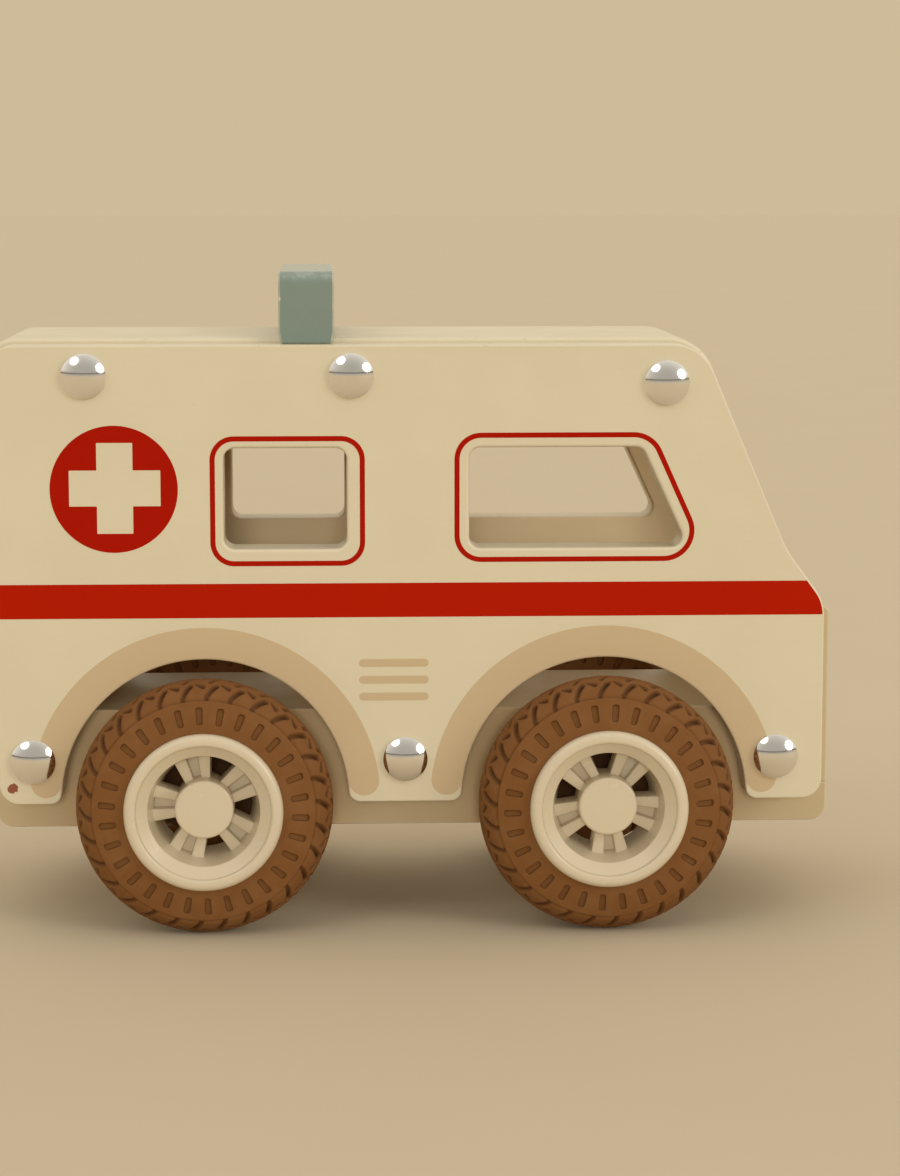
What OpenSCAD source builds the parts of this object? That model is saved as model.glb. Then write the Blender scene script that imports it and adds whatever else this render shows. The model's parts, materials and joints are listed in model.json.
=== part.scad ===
// Toy ambulance: two painted side panels nailed to a chassis plank and a roof plank, on four tyred wheels.
// X runs forward, Z runs up, and the origin is on the ground under the middle of the toy.

/* [Side panels] */
// Length of a side panel
panel_l = 165; // [158:1:180]
// Height of a side panel
panel_h = 91.5; // [88:0.5:105]
// Thickness of a side panel
panel_t = 9; // [6:0.5:11]
// Width over both side panels
body_w = 64; // [58:1:76]
// Height of the panels' lower edge above the ground
panel_ground = 25; // [22:0.5:28]
// Length of the panels behind the rear axle
rear_overhang = 41; // [37:0.5:48]
// Lean of the windscreen edge from upright, in degrees
windscreen_lean = 23; // [14:1:28]
// Height of the windscreen's foot above the panels' lower edge
cowl_h = 50.5; // [47:0.5:56]
// Height of the nose above the panels' lower edge
nose_h = 40; // [36:0.5:43]
// Run of the bonnet slope from the windscreen's foot to the nose
bonnet_l = 7.7; // [6:0.1:12]
// Radius where the roof turns down into the windscreen
roof_front_r = 9; // [4:0.5:12]
// Radius of the upper rear corner
roof_rear_r = 4; // [2:0.5:8]
// Hollow radius at the windscreen's foot
cowl_r = 20; // [8:1:28]
// Radius over the nose
nose_r = 8; // [3:0.5:10]
// Radius of the lower front and rear corners
foot_r = 4; // [2:0.5:6]
// Gap between a tyre and its wheel arch
arch_gap = 3.1; // [2:0.1:5]
// Radius of the lower corners beside a wheel arch
arch_corner_r = 2.4; // [1:0.1:4]

/* [Windows] */
// Height of the window sills above the panels' lower edge
sill_h = 51.2; // [48:0.1:54]
// Height of the windows
window_h = 20; // [15:0.5:24]
// Corner radius of the windows
window_r = 2.2; // [1:0.1:5]
// Distance from the panels' rear edge to the rear window
rear_window_x = 45.2; // [38:0.1:50]
// Length of the rear window
rear_window_l = 24.3; // [16:0.1:32]
// Distance from the panels' rear edge to the front window
front_window_x = 93.8; // [86:0.1:100]
// Length of the front window along its sill
front_window_l = 43.7; // [34:0.1:48]
// Lean of the front window's slanted edge from upright, in degrees
front_window_lean = 24.8; // [10:0.1:30]

/* [Planks and boards] */
// Thickness of the chassis plank
chassis_t = 24; // [20:0.5:28]
// How far the chassis plank hangs below the panels
chassis_drop = 6.5; // [3:0.5:9]
// Radius of the chassis plank's lower end edges
chassis_end_r = 3.4; // [1:0.1:6]
// How far the chassis plank and nose board stand out ahead of the panels
nose_reach = 2.5; // [0.5:0.1:5]
// How far the chassis plank and roof stand out behind the panels
rear_reach = 1.5; // [0.5:0.1:5]
// Thickness of the nose board and the rear board
board_t = 9; // [6:0.5:10]
// Height of the chassis lip that the nose board stands on
board_lip_h = 8; // [6:0.5:12]
// Height of the nose board's top above the panels' lower edge
nose_board_h = 38; // [32:0.5:42]
// Radius of the nose board's upper edges
nose_board_r = 1.6; // [0.5:0.1:3]
// Thickness of the roof plank
roof_t = 13; // [10:0.5:16]
// How far the roof plank stands above the panels
roof_proud = 1; // [0.5:0.1:2]

/* [Light bar] */
// Length of the light bar across the roof
bar_l = 54; // [44:1:58]
// Width of the light bar along the roof
bar_w = 11; // [8:0.5:16]
// Height of the light bar above the panels
bar_h = 14.3; // [10:0.1:20]
// Radius of the light bar's upper end edges
bar_end_r = 2.4; // [1:0.1:4]
// Distance from the panels' rear edge to the middle of the light bar
bar_x = 61.7; // [50:0.1:66]
// Diameter of the dowels under the light bar
dowel_d = 5; // [3:0.5:6]
// Depth of a dowel in the bar and in the roof
dowel_bite = 7; // [4:0.5:8]
// Distance between the two dowels
dowel_gap = 26; // [16:1:32]

/* [Dome nails] */
// Diameter of a dome head
nail_head_d = 9; // [6:0.1:11]
// Height of a dome head
nail_head_h = 2.2; // [1.5:0.1:4]
// Diameter of a nail's shank
nail_d = 2; // [1.4:0.1:3]
// Depth of a shank in the plank behind the panel
nail_bite = 12; // [8:0.5:15]
// How far the foremost roof nail sits below the others
front_nail_drop = 1.6; // [0:0.1:3]

/* [Wheels] */
// Distance between the axles
wheelbase = 80; // [74:1:90]
// Diameter over the tread
tyre_d = 51; // [48:0.5:55]
// Width of a tyre at the rim lip
tyre_w = 13.4; // [12:0.1:16]
// Diameter of the line where the sidewall meets the tread
sidewall_d = 43.8; // [41:0.1:45]
// Width of the tread
tread_w = 10.4; // [9:0.1:11]
// Radius of the tread's crown in section
crown_r = 6.2; // [5.6:0.1:8]
// Step from the sidewall down to the tread
shoulder_step = 0.6; // [0.2:0.1:1]
// How far a wheel stands out beyond its panel
wheel_reach = 13; // [11:0.1:16]
// Number of tread grooves in a row, and of slots on a sidewall
tread_count = 30; // [20:1:36]
// Width of a tread groove
groove_w = 1.2; // [0.6:0.1:1.6]
// Depth of a tread groove at its middle
groove_depth = 1.1; // [0.8:0.1:1.4]
// Slant of a tread groove, in degrees
groove_slant = 28; // [0:1:40]
// Length of a sidewall slot
slot_l = 3; // [1.5:0.1:3.6]
// Width of a sidewall slot
slot_w = 1.25; // [0.6:0.05:1.6]
// Depth of a sidewall slot at its outer end
slot_depth = 0.4; // [0.2:0.1:0.8]
// Diameter of the circle that the sidewall slots lie on
slot_circle_d = 38.2; // [37:0.1:39]

/* [Rims and axles] */
// Diameter over a rim's lip
rim_d = 31.4; // [30:0.1:34]
// Radius of the lip's round bead in section
lip_r = 1.7; // [1.4:0.1:2.2]
// How far the lip stands out from the tyre
lip_proud = 1.8; // [1:0.1:2.4]
// Diameter of the seat that carries the tyre
seat_d = 27; // [26:0.1:28]
// Diameter of the rim's mouth
mouth_d = 22.5; // [21:0.1:23.5]
// Depth of the mouth's edge behind the lip
mouth_depth = 2.6; // [2:0.1:3.4]
// Diameter of the barrel at the spokes
barrel_d = 21.2; // [19:0.1:22.4]
// Diameter of the barrel at its back
barrel_back_d = 18.6; // [17:0.1:20]
// Radius of the bead on the rim's inner side
back_lip_r = 1.2; // [0.8:0.1:1.4]
// Diameter of the hub
hub_d = 11.6; // [10:0.1:14]
// Radius of the hub's front edge
hub_edge_r = 0.5; // [0.2:0.1:1]
// Depth of the hub's face behind the lip
hub_depth = 4; // [3:0.1:5]
// Depth of the spokes behind the hub's face
spoke_depth = 3.6; // [2.5:0.1:4.5]
// Depth of the closed gap between the spokes of a pair
gap_depth = 2.2; // [1.4:0.1:3]
// Width of a spoke
spoke_w = 2; // [1.4:0.1:2.4]
// Half of the angle between the two spokes of a pair
pair_half_angle = 14.5; // [13:0.5:18]
// Number of spoke pairs
pair_count = 5; // [3:1:5]
// Thickness of the plate that closes the gap inside a pair
plate_t = 1.4; // [0.8:0.1:2]
// Turn of the front wheels, in degrees
front_turn = -4; // [-36:1:36]
// Turn of the rear wheels, in degrees
rear_turn = 22; // [-36:1:36]
// Diameter of an axle
axle_d = 4; // [3:0.1:5]
// Diameter of the hub's inner boss and of the washers
boss_d = 9; // [7:0.1:11]
// Thickness of a washer
washer_t = 1; // [0.5:0.1:1.5]
// Thickness of the hub's wall in front of the axle's end
hub_wall = 1.6; // [1:0.1:2.5]

/* [Fits] */
// Radial running clearance of an axle in the chassis plank
running_gap = 0.08; // [0.02:0.01:0.1]
// Clearance of a driven, glued or stretched fit
tight_gap = 0.02; // [0.01:0.01:0.05]
// Side play between a washer and the chassis plank
side_play = 0.3; // [0.2:0.05:0.6]

/* [Hidden] */
$fn = 96;

// Overrun of every cut past the face that it opens
overrun = 1;
// How far a rounding's circle reaches past the lines that it blends, so that they cross cleanly
blend_overlap = 0.002;
// Where the mouth's bevel runs into the lip's bead: the angle round the bead, and the share of its radius
bevel_end_angle = 156;
bevel_end_share = 0.8;
// How far the inner bead's middle lies outside the seat, as a share of the bead's radius
back_lip_share = 0.3;
// Places of the roof nails along the panels
roof_nail_shares = [0.109, 0.427, 0.8055];
// Places of the outer chassis nails in the wood between a panel's end and its wheel arch, from that end
rear_nail_share = 0.5;
front_nail_share = 0.57;

// The body in side view
overall_l = rear_reach + panel_l + nose_reach;
tail_x = -overall_l / 2;
front_x = overall_l / 2;
panel_rear_x = tail_x + rear_reach;
panel_front_x = panel_rear_x + panel_l;
panel_top_z = panel_ground + panel_h;
inner_w = body_w - 2 * panel_t;
cowl = [panel_front_x - bonnet_l, panel_ground + cowl_h];
nose = [panel_front_x, panel_ground + nose_h];
chassis_z = panel_ground - chassis_drop;
chassis_top_z = chassis_z + chassis_t;
lip_z = chassis_z + board_lip_h;
roof_top_z = panel_top_z + roof_proud;
roof_z = roof_top_z - roof_t;
bar_mid_x = panel_rear_x + bar_x;

// The wheels, measured along their axle from the middle of the tyre, outwards
axle_z = tyre_d / 2;
rear_axle_x = panel_rear_x + rear_overhang;
front_axle_x = rear_axle_x + wheelbase;
arch_r = tyre_d / 2 + arch_gap;
lip_face = tyre_w / 2 + lip_proud;
wheel_y = body_w / 2 + wheel_reach - lip_face;
mouth_face = lip_face - mouth_depth;
hub_face = lip_face - hub_depth;
spoke_face = hub_face - spoke_depth;
plate_face = spoke_face - gap_depth;
plate_back = plate_face - plate_t;
spoke_back = plate_back - plate_t;
hub_back = spoke_back - plate_t;
washer_face = inner_w / 2 + side_play + washer_t - wheel_y;
axle_end = hub_face - hub_wall;
lip_centre = [rim_d / 2 - lip_r, lip_face - lip_r];
back_lip_centre = [seat_d / 2 + back_lip_r * back_lip_share, back_lip_r - tyre_w / 2];
seat_half_w = tyre_w / 2 - shoulder_step;
shoulder_half_w = tread_w / 2 + shoulder_step;

// Places of the nails, as x and z: the middle chassis nail lies between the arches, the others beside them
roof_nail_z = (roof_z + panel_top_z) / 2;
last_roof_nail = len(roof_nail_shares) - 1;
roof_nails = [
    for (i = [0 : last_roof_nail])
        let (drop = i == last_roof_nail ? front_nail_drop : 0)
            [panel_rear_x + panel_l * roof_nail_shares[i], roof_nail_z - drop]
];
chassis_nail_z = (panel_ground + chassis_top_z) / 2;
arch_half_w = sqrt(pow(arch_r, 2) - pow(chassis_nail_z - axle_z, 2));
chassis_nail_xs = [
    panel_rear_x + (rear_overhang - arch_half_w) * rear_nail_share,
    (rear_axle_x + front_axle_x) / 2,
    panel_front_x - (panel_front_x - front_axle_x - arch_half_w) * front_nail_share
];
chassis_nails = [for (x = chassis_nail_xs) [x, chassis_nail_z]];
dome_r = (pow(nail_head_d / 2, 2) + pow(nail_head_h, 2)) / (2 * nail_head_h);

// One tread groove, whose floor follows the chord from beside the crown's middle to the shoulder
crown_centre_r = tyre_d / 2 - crown_r;
function crown_at(a) = [crown_centre_r + sqrt(pow(crown_r, 2) - pow(a, 2)), a];
groove_in = crown_at(groove_w / 2);
groove_out = crown_at(tread_w / 2);
groove_run = norm(groove_out - groove_in);
groove_tilt = atan2(groove_out[0] - groove_in[0], groove_out[1] - groove_in[1]);
groove_sag = crown_r - sqrt(pow(crown_r, 2) - pow(groove_run / 2, 2));

// A slot's floor, below the sidewall where the slot's outer end meets it
slot_end_r = (slot_circle_d + slot_l) / 2;
sidewall_slope = (tyre_w / 2 - shoulder_half_w) / (sidewall_d / 2 - rim_d / 2);
slot_floor = shoulder_half_w + (sidewall_d / 2 - slot_end_r) * sidewall_slope - slot_depth;

// Corner at p between the neighbours a and b: half its angle, its rounding's centre and a touching point
function unit(v) = v / norm(v);
function half_angle(a, p, b) = acos(unit(a - p) * unit(b - p)) / 2;
function round_centre(a, p, b, r) = p + unit(unit(a - p) + unit(b - p)) * r / sin(half_angle(a, p, b));
function touch(a, p, b, r) = p + unit(a - p) * r / tan(half_angle(a, p, b));

// What lies between a sharp corner and its rounding: cut off outside a body, added in a hollow
module corner_piece(a, p, b, r) {
    centre = round_centre(a, p, b, r);
    difference() {
        polygon([p + unit(p - centre) * overrun, touch(a, p, b, r), centre, touch(b, p, a, r)]);
        translate(centre) circle(r + blend_overlap);
    }
}

// A polygon whose corners are rounded by the radii given, where 0 leaves a corner sharp
module rounded_polygon(points, radii) {
    count = len(points);
    difference() {
        polygon(points);
        for (i = [0 : count - 1])
            if (radii[i] > 0)
                corner_piece(points[(i + count - 1) % count], points[i], points[(i + 1) % count], radii[i]);
    }
}

// A side view given a width across the toy, centred on the middle
module across(width) {
    rotate([90, 0, 0]) linear_extrude(width, center = true) children();
}

// What belongs on the right side, put on the right or mirrored to the left
module on_side(right) {
    if (right) children();
    else mirror([0, 1, 0]) children();
}

function windscreen_x(z) = cowl[0] - (z - cowl[1]) * tan(windscreen_lean);

// The waste beside a wheel arch's lower corner, before or behind the axle by direction
module arch_corner(x, direction) {
    centre_z = panel_ground + arch_corner_r;
    run = sqrt(pow(arch_r + arch_corner_r, 2) - pow(centre_z - axle_z, 2));
    centre = [x + direction * run, centre_z];
    low_z = panel_ground - overrun;
    difference() {
        polygon([[x, axle_z], centre, [centre[0], low_z], [x, low_z]]);
        translate(centre) circle(arch_corner_r + blend_overlap);
    }
}

module wheel_arch(x) {
    translate([x, axle_z]) circle(arch_r);
    arch_corner(x, 1);
    arch_corner(x, -1);
}

module windows() {
    z = panel_ground + sill_h;
    top = z + window_h;
    rear = panel_rear_x + rear_window_x;
    rear_end = rear + rear_window_l;
    front = panel_rear_x + front_window_x;
    front_end = front + front_window_l;
    slant = window_h * tan(front_window_lean);
    corners = [window_r, window_r, window_r, window_r];
    rounded_polygon([[rear, z], [rear_end, z], [rear_end, top], [rear, top]], corners);
    rounded_polygon([[front, z], [front_end, z], [front_end - slant, top], [front, top]], corners);
}

module panel_outline() {
    foot_front = [panel_front_x, panel_ground];
    foot_rear = [panel_rear_x, panel_ground];
    top_front = [windscreen_x(panel_top_z), panel_top_z];
    top_rear = [panel_rear_x, panel_top_z];
    rounded_polygon(
        [foot_rear, foot_front, nose, cowl, top_front, top_rear],
        [foot_r, foot_r, nose_r, 0, roof_front_r, roof_rear_r]
    );
    corner_piece(nose, cowl, top_front, cowl_r);
}

// Holes for the nails' shanks, from the right panel's face inwards
module nail_holes(places) {
    for (place = places)
        translate([place[0], -body_w / 2 - overrun, place[1]])
            rotate([-90, 0, 0])
                cylinder(d = nail_d + 2 * tight_gap, h = overrun + panel_t + nail_bite + tight_gap);
}

module side_panel() {
    difference() {
        translate([0, -inner_w / 2, 0])
            rotate([90, 0, 0])
                linear_extrude(panel_t)
                    difference() {
                        panel_outline();
                        wheel_arch(rear_axle_x);
                        wheel_arch(front_axle_x);
                        windows();
                    }
        nail_holes(roof_nails);
        nail_holes(chassis_nails);
    }
}

module right_side_panel() {
    color("cornsilk") side_panel();
}

module left_side_panel() {
    color("cornsilk") mirror([0, 1, 0]) side_panel();
}

// The chassis plank, rebated in front for the nose board
module chassis_plank() {
    color("wheat") difference() {
        across(inner_w)
            rounded_polygon(
                [
                    [tail_x, chassis_z], [front_x, chassis_z], [front_x, lip_z], [front_x - board_t, lip_z],
                    [front_x - board_t, chassis_top_z], [tail_x, chassis_top_z]
                ],
                [chassis_end_r, chassis_end_r, 0, 0, 0, 0]
            );
        for (x = [rear_axle_x, front_axle_x])
            translate([x, 0, axle_z])
                rotate([90, 0, 0])
                    cylinder(d = axle_d + 2 * running_gap, h = inner_w + 2 * overrun, center = true);
        for (right = [true, false])
            on_side(right) nail_holes(chassis_nails);
    }
}

module nose_board() {
    top = panel_ground + nose_board_h;
    color("wheat") across(inner_w)
        rounded_polygon(
            [[front_x - board_t, lip_z], [front_x, lip_z], [front_x, top], [front_x - board_t, top]],
            [0, 0, nose_board_r, nose_board_r]
        );
}

module rear_board() {
    color("wheat") across(inner_w)
        translate([tail_x, chassis_top_z]) square([board_t, roof_z - chassis_top_z]);
}

// Dowel holes or dowels, reaching up and down from the light bar's underside by bite
module dowels(diameter, bite) {
    for (side = [-1, 1])
        translate([bar_mid_x, side * dowel_gap / 2, panel_top_z])
            cylinder(d = diameter, h = 2 * bite, center = true);
}

// The roof plank, whose ends follow the panels, with a shallow housing for the light bar
module roof_plank() {
    front_shift = roof_proud / cos(windscreen_lean);
    housing_w = bar_w + 2 * tight_gap;
    color("cornsilk") difference() {
        across(inner_w)
            difference() {
                rounded_polygon(
                    [
                        [tail_x, roof_z], [windscreen_x(roof_z) + front_shift, roof_z],
                        [windscreen_x(roof_top_z) + front_shift, roof_top_z], [tail_x, roof_top_z]
                    ],
                    [0, 0, roof_front_r + roof_proud, roof_rear_r + roof_proud]
                );
                translate([bar_mid_x - housing_w / 2, panel_top_z]) square([housing_w, roof_proud + overrun]);
            }
        dowels(dowel_d + 2 * tight_gap, dowel_bite + tight_gap);
        for (right = [true, false])
            on_side(right) nail_holes(roof_nails);
    }
}

// The light bar: an end view with rounded shoulders, drawn across the toy
module light_bar() {
    end = bar_l / 2;
    color("cadetblue") difference() {
        translate([bar_mid_x, 0, panel_top_z])
            rotate([90, 0, 90])
                linear_extrude(bar_w, center = true)
                    rounded_polygon(
                        [[-end, 0], [end, 0], [end, bar_h], [-end, bar_h]], [0, 0, bar_end_r, bar_end_r]
                    );
        dowels(dowel_d + 2 * tight_gap, dowel_bite + tight_gap);
    }
}

module light_bar_dowels() {
    color("burlywood") dowels(dowel_d, dowel_bite);
}

// A dome nail on a panel's face, its head outwards
module nail() {
    rotate_extrude() intersection() {
        translate([0, nail_head_h - dome_r]) circle(dome_r);
        square([dome_r, nail_head_h]);
    }
    translate([0, 0, -panel_t - nail_bite]) cylinder(d = nail_d, h = panel_t + nail_bite + nail_head_h / 2);
}

module nails(places, right) {
    color("silver") on_side(right)
        for (place = places)
            translate([place[0], -body_w / 2, place[1]]) rotate([90, 0, 0]) nail();
}

module axle(x) {
    color("gray") translate([x, 0, axle_z])
        rotate([90, 0, 0]) cylinder(d = axle_d, h = 2 * (wheel_y + axle_end - tight_gap), center = true);
}

// A wheel piece drawn round the Z axis with its outer face up, put on an axle end
module wheel_place(x, right, turn) {
    on_side(right) translate([x, -wheel_y, axle_z]) rotate([90, turn, 0]) children();
}

module washer(x, right) {
    color("gainsboro") wheel_place(x, right, 0)
        translate([0, 0, washer_face - washer_t])
            difference() {
                cylinder(d = boss_d, h = washer_t);
                translate([0, 0, -overrun]) cylinder(d = axle_d + 2 * tight_gap, h = washer_t + 2 * overrun);
            }
}

// Half section of a rim's barrel, with its round lip and inner bead
module barrel_section() {
    bevel_end = lip_centre + lip_r * bevel_end_share * [cos(bevel_end_angle), sin(bevel_end_angle)];
    polygon([
        [mouth_d / 2, mouth_face], bevel_end, [seat_d / 2, lip_centre[1]], [seat_d / 2, back_lip_centre[1]],
        [mouth_d / 2, back_lip_centre[1] - back_lip_r], [barrel_back_d / 2, hub_back],
        [barrel_d / 2, spoke_face + plate_t]
    ]);
    translate(lip_centre) circle(lip_r);
    translate(back_lip_centre) circle(back_lip_r);
}

// A rim's hub and inner boss, bored from behind for the axle
module hub() {
    edge = [hub_d / 2, hub_face];
    difference() {
        union() {
            translate([0, 0, hub_back]) cylinder(d = hub_d, h = hub_face - hub_back);
            translate([0, 0, washer_face]) cylinder(d = boss_d, h = hub_face - hub_edge_r - washer_face);
        }
        translate([0, 0, washer_face - overrun])
            cylinder(d = axle_d + 2 * tight_gap, h = axle_end - washer_face + overrun);
        rotate_extrude() corner_piece(edge - [hub_edge_r, 0], edge, edge - [0, hub_edge_r], hub_edge_r);
    }
}

// A point on the middle line of a spoke turned by angle from straight up
function spoke_point(angle, r) = r * [-sin(angle), cos(angle)];

// A pair of spokes, and the plate that closes the gap between them
module spoke_pair() {
    in_r = hub_d / 2 - spoke_w;
    out_r = (barrel_d + seat_d) / 4;
    angles = [pair_half_angle, -pair_half_angle];
    for (angle = angles)
        translate([0, 0, spoke_back])
            rotate(angle)
                linear_extrude(spoke_face - spoke_back)
                    translate([-spoke_w / 2, in_r]) square([spoke_w, out_r - in_r]);
    translate([0, 0, plate_back])
        linear_extrude(plate_t)
            polygon([
                spoke_point(angles[0], in_r), spoke_point(angles[0], out_r),
                spoke_point(angles[1], out_r), spoke_point(angles[1], in_r)
            ]);
}

module rim(x, right, turn) {
    color("ivory") wheel_place(x, right, turn) {
        rotate_extrude() barrel_section();
        hub();
        for (i = [0 : pair_count - 1])
            rotate((i + 1 / 2) * 360 / pair_count) spoke_pair();
    }
}

// Half section of a tyre, hollowed for the rim's seat and beads
module tyre_section() {
    seat = seat_d / 2 + tight_gap;
    difference() {
        union() {
            polygon([
                [seat, -seat_half_w], [rim_d / 2, -tyre_w / 2], [sidewall_d / 2, -shoulder_half_w],
                [sidewall_d / 2, shoulder_half_w], [rim_d / 2, tyre_w / 2], [seat, seat_half_w]
            ]);
            intersection() {
                translate([crown_centre_r, 0]) circle(crown_r);
                translate([rim_d / 2, -tread_w / 2]) square([tyre_d / 2, tread_w]);
            }
        }
        translate(lip_centre) circle(lip_r + tight_gap);
        translate(back_lip_centre) circle(back_lip_r + tight_gap);
    }
}

// The cut for one tread groove on the outer half of the tread, at the angle 0
module tread_groove() {
    mid = (groove_in + groove_out) / 2;
    run = groove_run / cos(groove_slant) + overrun;
    translate([mid[0], 0, mid[1]])
        rotate([0, groove_tilt, 0])
            translate([groove_sag - groove_depth, 0, 0])
                rotate([-groove_slant, 0, 0])
                    translate([0, -groove_w / 2, -(run - overrun) / 2]) cube([crown_r, groove_w, run]);
}

// All the slots of one sidewall, as a flat pattern
module sidewall_slots() {
    for (i = [0 : tread_count - 1])
        rotate(i * 360 / tread_count) {
            translate([slot_circle_d / 2, 0]) square([slot_l - slot_w, slot_w], center = true);
            for (end = [-1, 1])
                translate([slot_circle_d / 2 + end * (slot_l - slot_w) / 2, 0]) circle(d = slot_w);
        }
}

module tyre(x, right, turn) {
    pitch = 360 / tread_count;
    color("rosybrown") wheel_place(x, right, turn) difference() {
        rotate_extrude() tyre_section();
        for (i = [0 : tread_count - 1]) {
            rotate(i * pitch) tread_groove();
            rotate((i + 1 / 2) * pitch) mirror([0, 0, 1]) tread_groove();
        }
        for (outer = [0, 1])
            mirror([0, 0, outer]) translate([0, 0, slot_floor]) linear_extrude(tyre_w) sidewall_slots();
    }
}

chassis_plank();
right_side_panel();
left_side_panel();
roof_plank();
nose_board();
rear_board();
light_bar();
light_bar_dowels();
nails(roof_nails, true);  // right_roof_nails
nails(roof_nails, false);  // left_roof_nails
nails(chassis_nails, true);  // right_chassis_nails
nails(chassis_nails, false);  // left_chassis_nails
axle(front_axle_x);  // front_axle
axle(rear_axle_x);  // rear_axle
washer(front_axle_x, true);  // front_right_washer
washer(front_axle_x, false);  // front_left_washer
washer(rear_axle_x, true);  // rear_right_washer
washer(rear_axle_x, false);  // rear_left_washer
rim(front_axle_x, true, front_turn);  // front_right_rim
rim(front_axle_x, false, front_turn);  // front_left_rim
rim(rear_axle_x, true, rear_turn);  // rear_right_rim
rim(rear_axle_x, false, rear_turn);  // rear_left_rim
tyre(front_axle_x, true, front_turn);  // front_right_tyre
tyre(front_axle_x, false, front_turn);  // front_left_tyre
tyre(rear_axle_x, true, rear_turn);  // rear_right_tyre
tyre(rear_axle_x, false, rear_turn);  // rear_left_tyre
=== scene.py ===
"""Looks of the toy ambulance: painted boards, printed sides, dome nails, moulded wheels and the stage."""
import json
import math

import bmesh
import bpy
import numpy as np
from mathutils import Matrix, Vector
from mathutils.geometry import tessellate_polygon


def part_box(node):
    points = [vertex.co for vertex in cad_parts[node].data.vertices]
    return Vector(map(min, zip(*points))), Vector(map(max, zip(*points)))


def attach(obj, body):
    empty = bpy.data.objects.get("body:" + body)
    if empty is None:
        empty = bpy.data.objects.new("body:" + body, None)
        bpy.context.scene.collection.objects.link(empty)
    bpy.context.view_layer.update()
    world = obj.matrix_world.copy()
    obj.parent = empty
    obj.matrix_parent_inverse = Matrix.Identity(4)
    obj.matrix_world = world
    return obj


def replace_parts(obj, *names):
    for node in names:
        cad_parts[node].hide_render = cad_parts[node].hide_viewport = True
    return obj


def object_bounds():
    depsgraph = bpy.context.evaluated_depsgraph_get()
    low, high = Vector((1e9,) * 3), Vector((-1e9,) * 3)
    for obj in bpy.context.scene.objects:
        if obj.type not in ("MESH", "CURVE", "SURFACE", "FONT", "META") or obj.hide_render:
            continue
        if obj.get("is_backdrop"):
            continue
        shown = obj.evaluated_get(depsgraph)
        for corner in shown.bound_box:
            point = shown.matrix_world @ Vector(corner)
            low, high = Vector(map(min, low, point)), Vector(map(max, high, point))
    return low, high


MM = 0.001
# Both sides of the toy: a place at a distance outwards from the middle has Y = -sign * distance
SIDES = (("right", 1), ("left", -1))
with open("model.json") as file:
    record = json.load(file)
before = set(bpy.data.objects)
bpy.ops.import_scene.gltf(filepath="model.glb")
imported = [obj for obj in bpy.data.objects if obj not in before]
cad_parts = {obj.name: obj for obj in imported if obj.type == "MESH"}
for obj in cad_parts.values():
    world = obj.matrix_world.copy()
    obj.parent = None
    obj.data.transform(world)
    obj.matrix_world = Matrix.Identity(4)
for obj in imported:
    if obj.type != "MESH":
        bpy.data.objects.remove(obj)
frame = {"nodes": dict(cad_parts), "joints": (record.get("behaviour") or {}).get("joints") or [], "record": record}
cad_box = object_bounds()


def box(node):
    """The lowest and highest corner of a CAD node."""
    return [np.array(corner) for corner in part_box(node)]


# Sizes of the body in metres, from the frame where it gives them

(PANEL_REAR, _, PANEL_FOOT), (PANEL_FRONT, _, PANEL_TOP) = box("right_side_panel")
PANEL_FACE, PANEL_BACK = -box("right_side_panel")[0][1], -box("right_side_panel")[1][1]
ROOF_FOOT = box("roof_plank")[0][2]
AXLES = {joint["child"].split("_")[0]: np.array(joint["pos_m"])[[0, 2]] for joint in frame["joints"]}
WINDSCREEN_LEAN = math.radians(23)
COWL = np.array([PANEL_FRONT - 7.7 * MM, PANEL_FOOT + 50.5 * MM])
NOSE = np.array([PANEL_FRONT, PANEL_FOOT + 40 * MM])
ROOF_FRONT_R, ROOF_REAR_R = 9 * MM, 4 * MM
FOOT_R, NOSE_R, COWL_R = 4 * MM, 8 * MM, 20 * MM
ARCH_R = 28.6 * MM
ARCH_CORNER_R = 2.4 * MM
SILL, HEAD = PANEL_FOOT + 51.2 * MM, PANEL_FOOT + 71.2 * MM
REAR_WINDOW = PANEL_REAR + np.array([45.2, 69.5]) * MM
FRONT_WINDOW = PANEL_REAR + np.array([93.8, 137.5]) * MM
FRONT_WINDOW_LEAN = math.radians(24.8)
WINDOW_R = 2.2 * MM
EDGE_EASE, WINDOW_EASE, HOLE_EASE = 0.35 * MM, 0.7 * MM, 0.15 * MM
TIGHT_R = 0.04 * MM
CHASSIS_END_R, NOSE_BOARD_R = 3.4 * MM, 1.6 * MM
ROOF_EASE = 0.8 * MM
BAR_EASE, BAR_SHOULDER_R = 0.4 * MM, 2.4 * MM
BAR_TAPER, BAR_TAPER_H = 0.4 * MM, 2.6 * MM
NAIL_HEAD_R, NAIL_HEAD_H = 4.5 * MM, 2.2 * MM
NAIL_RIM_LEAN, NAIL_RIM_R = math.radians(35), 0.3 * MM
NAIL_R, NAIL_BITE = 1 * MM, 12 * MM
MIDDLE_ROOF_NAIL_SHARE = 0.427
AXLE_HOLE_R = 2.08 * MM
BAND_FOOT = 26.3 * MM

# Outlines: closed rows of points in a plane, with the wood on the left of their run


def arc(centre, radius, start, end, steps):
    """Points of a circle: the centre plus the radius times (cos, sin) of angles spread evenly, in radians."""
    angle = np.linspace(start, end, steps)
    return np.asarray(centre) + radius * np.stack([np.cos(angle), np.sin(angle)], axis=1)


def ring(centre, radius, steps=32):
    """A whole circle, run anticlockwise."""
    return arc(centre, radius, 0, 2 * math.pi, steps + 1)[:-1]


def unit(vectors):
    """Vectors divided by their own lengths."""
    return vectors / np.linalg.norm(vectors, axis=-1, keepdims=True)


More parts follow.
